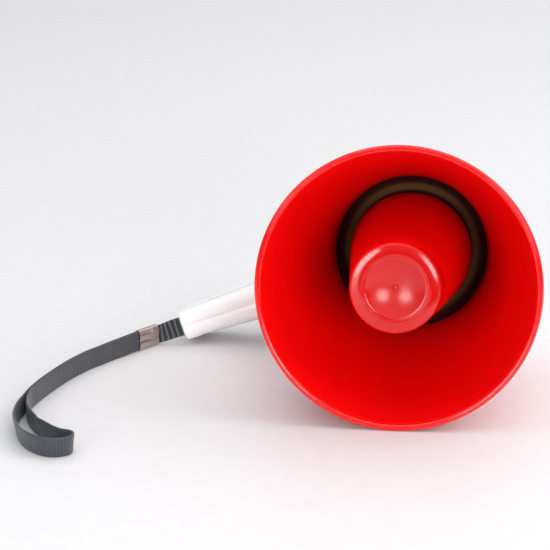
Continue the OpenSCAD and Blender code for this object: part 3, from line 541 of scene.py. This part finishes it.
def add_trigger_spring():
    """The trigger's return spring: round wire with closed end coils, built at its rest length; the real one is
    pressed shorter as the trigger moves.
    """
    centre_x, coil_r, wire_r = -85.5, 2.2, 0.3
    low, high = 151.8, 160.6
    turns, closed, around, steps = 6.5, 1.0, 10, 36
    # the share of the height that each closed end coil rises
    end_rise = 0.035
    count = round(turns * steps)
    points, faces = [], []
    for i in range(count + 1):
        turn = i / steps
        rise = min(max((turn - closed) / (turns - 2 * closed), 0), 1)
        ends = min(turn, closed) / closed + max(turn - turns + closed, 0) / closed
        share = (1 - 2 * end_rise) * rise + end_rise * ends
        a = 2 * math.pi * turn
        for k in range(around):
            b = 2 * math.pi * k / around
            r = coil_r + wire_r * math.cos(b)
            z = low + (high - low) * share + wire_r * math.sin(b)
            points.append(at(centre_x + r * math.cos(a), r * math.sin(a), z))
    for i in range(count):
        for k in range(around):
            j = (k + 1) % around
            faces.append([i * around + k, i * around + j, (i + 1) * around + j, (i + 1) * around + k])
    faces.append(list(range(around - 1, -1, -1)))
    faces.append([count * around + k for k in range(around)])
    spring = add_piece("trigger_coil", points, faces, "screw_steel", replaces=["trigger_spring"], smooth=60)
    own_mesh(spring)


# ---- wrist strap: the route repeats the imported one, in millimetres from the point under the mouth ----

BAND_W = 12
BAND_T = 1.3
BAND_RIBS = {"rib_pitch": 1.7 * MM, "rib_height": 0.17}
TAB_T = 2.2
TAB_RIBS = {"rib_pitch": 3.3 * MM, "rib_height": 0.95, "plain": 8 * MM}
# the height of the band's middle, since it stands on its edge
BAND_Z = 6
LAYER_GAP = 1.6
SHARED_RUN = [(-158, 139), (-163, 131), (-168, 123), (-174, 113), (-180, 103), (-185, 94), (-190, 85),
              (-194, 75.5), (-197.5, 66), (-200.5, 56), (-203.2, 46), (-205.6, 36), (-207.7, 26),
              (-209.2, 17), (-210.3, 9)]
NEAR_LAYER = [(-209.3, 1), (-208.6, -6), (-206.8, -14.5), (-203.8, -23), (-200, -31), (-195.5, -38.5),
              (-190.5, -45.5), (-185.5, -51.5), (-180.5, -55.8), (-176, -57.6), (-173, -60)]
LOOP_TIP = [(-171.9, -63.5), (-172.8, -67.3)]
FAR_LAYER = [(-176.3, -70.6), (-181.5, -72), (-187.5, -70.4), (-193, -66.5), (-198.5, -60.5), (-203.2, -52.5),
             (-207.2, -43), (-210, -33), (-211.7, -23), (-212.3, -13), (-211.9, -3)]
# where the tab is in the foot, along the horn, and where it goes on from there
SLOT_Z = 152.5
TAB_FLOOR = [(-147.2, 144.8, 8.9), (-150.5, 143.8, 7.8), (-154, 142, 6.9), (-157, 139.9, 6.5)]


def beside(path, i, distance):
    """A point at a distance to the right of a flat path's i-th point."""
    a, b = path[max(i - 1, 0)], path[min(i + 1, len(path) - 1)]
    ahead = Vector((b[0] - a[0], b[1] - a[1])).normalized()
    return (path[i][0] + distance * ahead.y, path[i][1] - distance * ahead.x)


def loop_line():
    """The loop: out from the sleeve, round its tip and back beside itself."""
    out = [beside(SHARED_RUN, i, -LAYER_GAP / 2) for i in range(len(SHARED_RUN))]
    back = [beside(SHARED_RUN, i, LAYER_GAP / 2) for i in reversed(range(len(SHARED_RUN)))]
    flat = out + NEAR_LAYER + LOOP_TIP + FAR_LAYER + back
    last = len(flat) - 1

    def rise(i):
        """Both ends sit a little higher, in the sleeve."""
        from_end = max(0, min(i, last - i) - 2)
        return 0.5 * max(0, 1 - from_end / 3)

    return [laid(x, y, BAND_Z + rise(i)) for i, (x, y) in enumerate(flat)]


def tab_line():
    """The tab: from the anchor pin inside the foot to the sleeve."""
    inside = [at(x, 0, SLOT_Z) for x in (-140, -148.2, -150.5, -153.5)]
    return inside + [laid(*p) for p in TAB_FLOOR]


def smooth_line(points, step):
    """A Catmull-Rom curve through the points, sampled about every step metres."""
    ends = [2 * points[0] - points[1]] + points + [2 * points[-1] - points[-2]]
    line = []
    for k in range(1, len(ends) - 2):
        a, b, c, d = ends[k - 1:k + 3]
        count = max(1, round((c - b).length / step))
        for i in range(count):
            t = i / count
            line.append(0.5 * (2 * b + (c - a) * t + (2 * a - 5 * b + 4 * c - d) * t * t
                               + (3 * b - a - 3 * c + d) * t ** 3))
    return line + [points[-1]]


def band(line, ups, width, thick, rib_pitch, rib_height, plain=0.0):
    """A flat woven band with rounded edges and ribs across both faces.

    Ribs start after plain metres. The third list places each point on its rib, from -1 in a groove to 1
    on a crest, and less on low ribs.
    """
    points, faces, crests = [], [], []
    travelled = 0.0
    section = []
    half_w, half_t = width / 2, thick / 2
    corner, rows = thick * 0.42, 9
    for side in (1, -1):
        for i in range(rows):
            section.append((side * half_t, side * (half_w - corner) * (2 * i / (rows - 1) - 1), side))
        section.append((side * half_t * 0.55, side * (half_w - corner * 0.3), 0))
        section.append((0, side * half_w, 0))
        section.append((-side * half_t * 0.55, side * (half_w - corner * 0.3), 0))
    for i, p in enumerate(line):
        ahead = (line[min(i + 1, len(line) - 1)] - line[max(i - 1, 0)]).normalized()
        across = ahead.cross(ups[i]).normalized()
        up = across.cross(ahead)
        if i:
            travelled += (p - line[i - 1]).length
        ribbed = min(1.0, max(0.0, (travelled - plain) / rib_pitch))
        wave = math.cos(2 * math.pi * travelled / rib_pitch)
        rib = ribbed * rib_height * (0.5 + 0.5 * wave)
        for t, w, face in section:
            points.append(p + MM * ((t - face * rib) * across + w * up))
            crests.append(-wave * ribbed * min(1.0, rib_height))
    size = len(section)
    for i in range(len(line) - 1):
        for k in range(size):
            j = (k + 1) % size
            faces.append([i * size + k, i * size + j, (i + 1) * size + j, (i + 1) * size + k])
    faces.append(list(range(size - 1, -1, -1)))
    faces.append([(len(line) - 1) * size + k for k in range(size)])
    return points, faces, crests


CRIMP_AT = (-157.6, 139.64)
CRIMP_LEN = 17.5


def add_crimp():
    """A flat metal sleeve pressed round the webbing, with two lengthwise swells on each side."""
    turn = math.atan2(-16, -10)
    along, aside = Vector((math.cos(turn), math.sin(turn), 0)), Vector((-math.sin(turn), math.cos(turn), 0))
    half, plate, top, corner, swelling = 1.85, 0.42, 13.05, 1.1, 0.62
    start = laid(*CRIMP_AT, 0)

    def swell(z):
        return swelling * abs(math.sin(2 * math.pi * (z - corner) / (top - 2 * corner)))

    def side(inset):
        """One side's outline from the floor to the top, inset from the outside."""
        bend = max(corner - inset, 0.3)
        reach = half - inset
        low = [(reach - bend + bend * math.sin(a), inset + bend - bend * math.cos(a)) for a in
               (math.pi / 2 * i / 6 for i in range(7))]
        mid = [(reach + swell(z), z) for z in (corner + (top - 2 * corner) * i / 36 for i in range(1, 36))]
        high = [(y, top - z) for y, z in reversed(low)]
        return low + mid + high

    outer = side(0)
    outer += [(-y, z) for y, z in reversed(outer)]
    inner = side(plate)
    inner += [(-y, z) for y, z in reversed(inner)]
    size = len(outer)
    points, faces = [], []
    # each row is a place along the sleeve and how far its outline is tucked in; both ends flare a little
    bevel, flare_max = 0.14, 0.14
    rows = [(0.0, bevel), (0.12, 0.0)] + [(CRIMP_LEN * f / 16, 0.0) for f in range(1, 16)]
    rows += [(CRIMP_LEN - 0.12, 0.0), (CRIMP_LEN, bevel)]
    for x, tuck in rows:
        flare = flare_max * abs(2 * x / CRIMP_LEN - 1) ** 6
        for y, z in outer:
            out = y + math.copysign(flare - tuck, y)
            height = min(max(z, tuck), top - tuck)
            points.append(start + MM * (x * along + out * aside + Vector((0, 0, height))))
    for x in (CRIMP_LEN, 0.0):
        for y, z in inner:
            points.append(start + MM * (x * along + y * aside + Vector((0, 0, z))))
    last = len(rows) + 2
    for i in range(last):
        for k in range(size):
            j, after = (k + 1) % size, (i + 1) % last
            faces.append([i * size + k, i * size + j, after * size + j, after * size + k])
    return add_piece("strap_sleeve", points, faces, "nickel", replaces=["strap_crimp"], smooth=45)


def add_strap():
    """The tab and the loop as one cord, with its metal sleeve."""
    tab_up = -ACROSS
    floor_up = Vector((0, 0, 1))
    tab = smooth_line(tab_line(), 0.35 * MM)
    # the band twists from the handle's attitude to the floor's along the tab
    n = len(tab)
    ups = [tab_up.lerp(floor_up, min(1, max(0, (i / n - 0.3) / 0.6))) for i in range(n)]
    tab_points, tab_faces, tab_crests = band(tab, ups, BAND_W, TAB_T, **TAB_RIBS)
    loop = smooth_line(loop_line(), 0.3 * MM)
    # the loop's far end leans outwards from its middle
    eye = laid(-193, -38, BAND_Z)
    leans = [min(1, max(0, ((UNDER_MOUTH.y - p.y) / MM - 5) / 30)) for p in loop]
    loop_ups = [(floor_up + 0.2 * f * (p - eye).normalized()).normalized() for p, f in zip(loop, leans)]
    loop_points, loop_faces, loop_crests = band(loop, loop_ups, BAND_W, BAND_T, **BAND_RIBS)
    shift = len(tab_points)
    strap = add_piece("strap_webbing", tab_points + loop_points,
                      tab_faces + [[i + shift for i in face] for face in loop_faces],
                      "webbing", replaces=["strap_tab", "strap_loop"], smooth=50)
    # each point's place on its rib, which the webbing uses for painted shade in the grooves and a painted
    # highlight on the crests
    crest = strap.data.attributes.new("crest", "FLOAT", "POINT")
    crest.data.foreach_set("value", tab_crests + loop_crests)
    add_crimp()


# ---- floor and light ----


def add_floor():
    """A seamless sweep: flat under the object, curving up far behind it."""
    # metres: half its width, where the flat part starts and ends, the curve's radius and the top
    half, front, back, radius, top = 4.0, -1.6, 2.2, 1.0, 3.2
    line = [(front, 0.0), (back, 0.0)]
    line += [(back + radius * math.sin(a), radius * (1 - math.cos(a))) for a in
             [math.pi / 2 * i / 16 for i in range(1, 17)]]
    line += [(back + radius, top)]
    points = [(x, y, z) for y, z in line for x in (-half, half)]
    faces = [[2 * i, 2 * i + 1, 2 * i + 3, 2 * i + 2] for i in range(len(line) - 1)]
    mesh = bpy.data.meshes.new("floor")
    mesh.from_pydata(points, [], faces)
    for face in mesh.polygons:
        face.use_smooth = True
    floor = bpy.data.objects.new("floor", mesh)
    bpy.context.scene.collection.objects.link(floor)
    n = Nodes("paper_sweep")
    fibre = n.noise(n.coords(), 120, 4)
    base = n.blend(n.spread(fibre, 0.3, 0.7), (0.71, 0.71, 0.72, 1), (0.74, 0.74, 0.75, 1))
    mesh.materials.append(n.surface(Base_Color=base, Roughness=0.55, Normal=n.bump(fibre, 0.02 * MM)))
    # the floor goes on in front, where only views from behind see it
    reach = 8.0
    apron_mesh = bpy.data.meshes.new("apron")
    apron_mesh.from_pydata([(-reach, -reach, 0), (reach, -reach, 0), (reach, front, 0), (-reach, front, 0)],
                           [], [[0, 1, 2, 3]])
    apron_mesh.materials.append(mesh.materials[0])
    apron = bpy.data.objects.new("apron", apron_mesh)
    bpy.context.scene.collection.objects.link(apron)
    apron.visible_diffuse = False
    apron.visible_glossy = False
    apron.visible_shadow = False


def softbox(name, place, target, size, power, shape="RECTANGLE", mirrored=True):
    """An area lamp; mirrored says whether reflections see it."""
    data = bpy.data.lights.new(name, "AREA")
    data.shape = shape
    data.size, data.size_y = size
    data.energy = power
    lamp = bpy.data.objects.new(name, data)
    lamp.location = place
    lamp.visible_glossy = mirrored
    lamp.rotation_mode = "QUATERNION"
    lamp.rotation_quaternion = (Vector(target) - Vector(place)).to_track_quat("-Z", "Y")
    bpy.context.scene.collection.objects.link(lamp)


PLUG = laid(0, 0, 80)


def seen_from_plug(turn, height, distance):
    """A place round the reflector's front: degrees to its right, degrees up and metres away."""
    a, b = math.radians(turn), math.radians(height)
    return PLUG + distance * Vector((math.sin(a) * math.cos(b), -math.cos(a) * math.cos(b), math.sin(b)))


def add_light():
    """A pale surround, soft lamps in front, to the right and overhead, and a dark card."""
    scene = bpy.context.scene
    scene.view_settings.view_transform = "Standard"
    world = bpy.data.worlds.new("studio")
    scene.world = world
    world.use_nodes = True
    tree = world.node_tree
    sky = tree.nodes["Background"]
    sky.inputs["Color"].default_value = (0.97, 0.97, 0.985, 1)
    # darker towards the horizon than overhead
    split = tree.nodes.new("ShaderNodeSeparateXYZ")
    tree.links.new(tree.nodes.new("ShaderNodeTexCoord").outputs["Generated"], split.inputs[0])
    rise = tree.nodes.new("ShaderNodeMapRange")
    for name, number in (("From Min", 0.15), ("From Max", 0.65), ("To Min", 0.2), ("To Max", 0.85)):
        rise.inputs[name].default_value = number
    tree.links.new(split.outputs["Z"], rise.inputs["Value"])
    tree.links.new(rise.outputs[0], sky.inputs["Strength"])
    softbox("key_left", seen_from_plug(-22, 12.5, 1.9), PLUG, (0.7, 0.66), 10, shape="ELLIPSE")
    softbox("fill_right", seen_from_plug(20, 12, 1.9), PLUG, (0.64, 0.64), 9.5, shape="ELLIPSE")
    softbox("inner_fill", seen_from_plug(31, 4, 1.9), PLUG, (0.9, 0.7), 13, mirrored=False)
    softbox("right_side", laid(1300, 100, 800), laid(150, -50, 0), (1.2, 1.0), 9, mirrored=False)
    softbox("low_left", seen_from_plug(-21, -2, 1.7), PLUG, (0.42, 0.36), 1.2)
    softbox("overhead", laid(900, 850, 2200), laid(900, 850, 0), (3.8, 4.4), 40)
    # a dark card low on the right, which only reflections see
    near, far = 0.5, 1.45
    corners = [seen_from_plug(5, -9, near), seen_from_plug(36, -9, near),
               seen_from_plug(36, 1, far), seen_from_plug(5, 1, far)]
    mesh = bpy.data.meshes.new("dark_card")
    mesh.from_pydata([tuple(p) for p in corners], [], [[0, 1, 2, 3]])
    card = bpy.data.objects.new("dark_card", mesh)
    scene.collection.objects.link(card)
    n = Nodes("black_felt")
    fibre = n.noise(n.coords(), 300, 4)
    felt = n.blend(fibre, (0.01, 0.01, 0.01, 1), (0.03, 0.03, 0.03, 1))
    mesh.materials.append(n.surface(Base_Color=felt, Roughness=0.9))
    card.visible_camera = False
    card.visible_shadow = False
    card.visible_diffuse = False


add_camera()
add_strap()
add_bell()
add_reflector()
add_horn_base()
add_trigger_spring()
add_dial()
dress_frame()
soften(["housing_left", "housing_right", "rear_cover", "battery_door"], 0.3)
soften(["trigger"], 0.5)
soften(["mode_slider", "volume_knob", "mic_grille"], 0.15)
add_floor()
add_light()
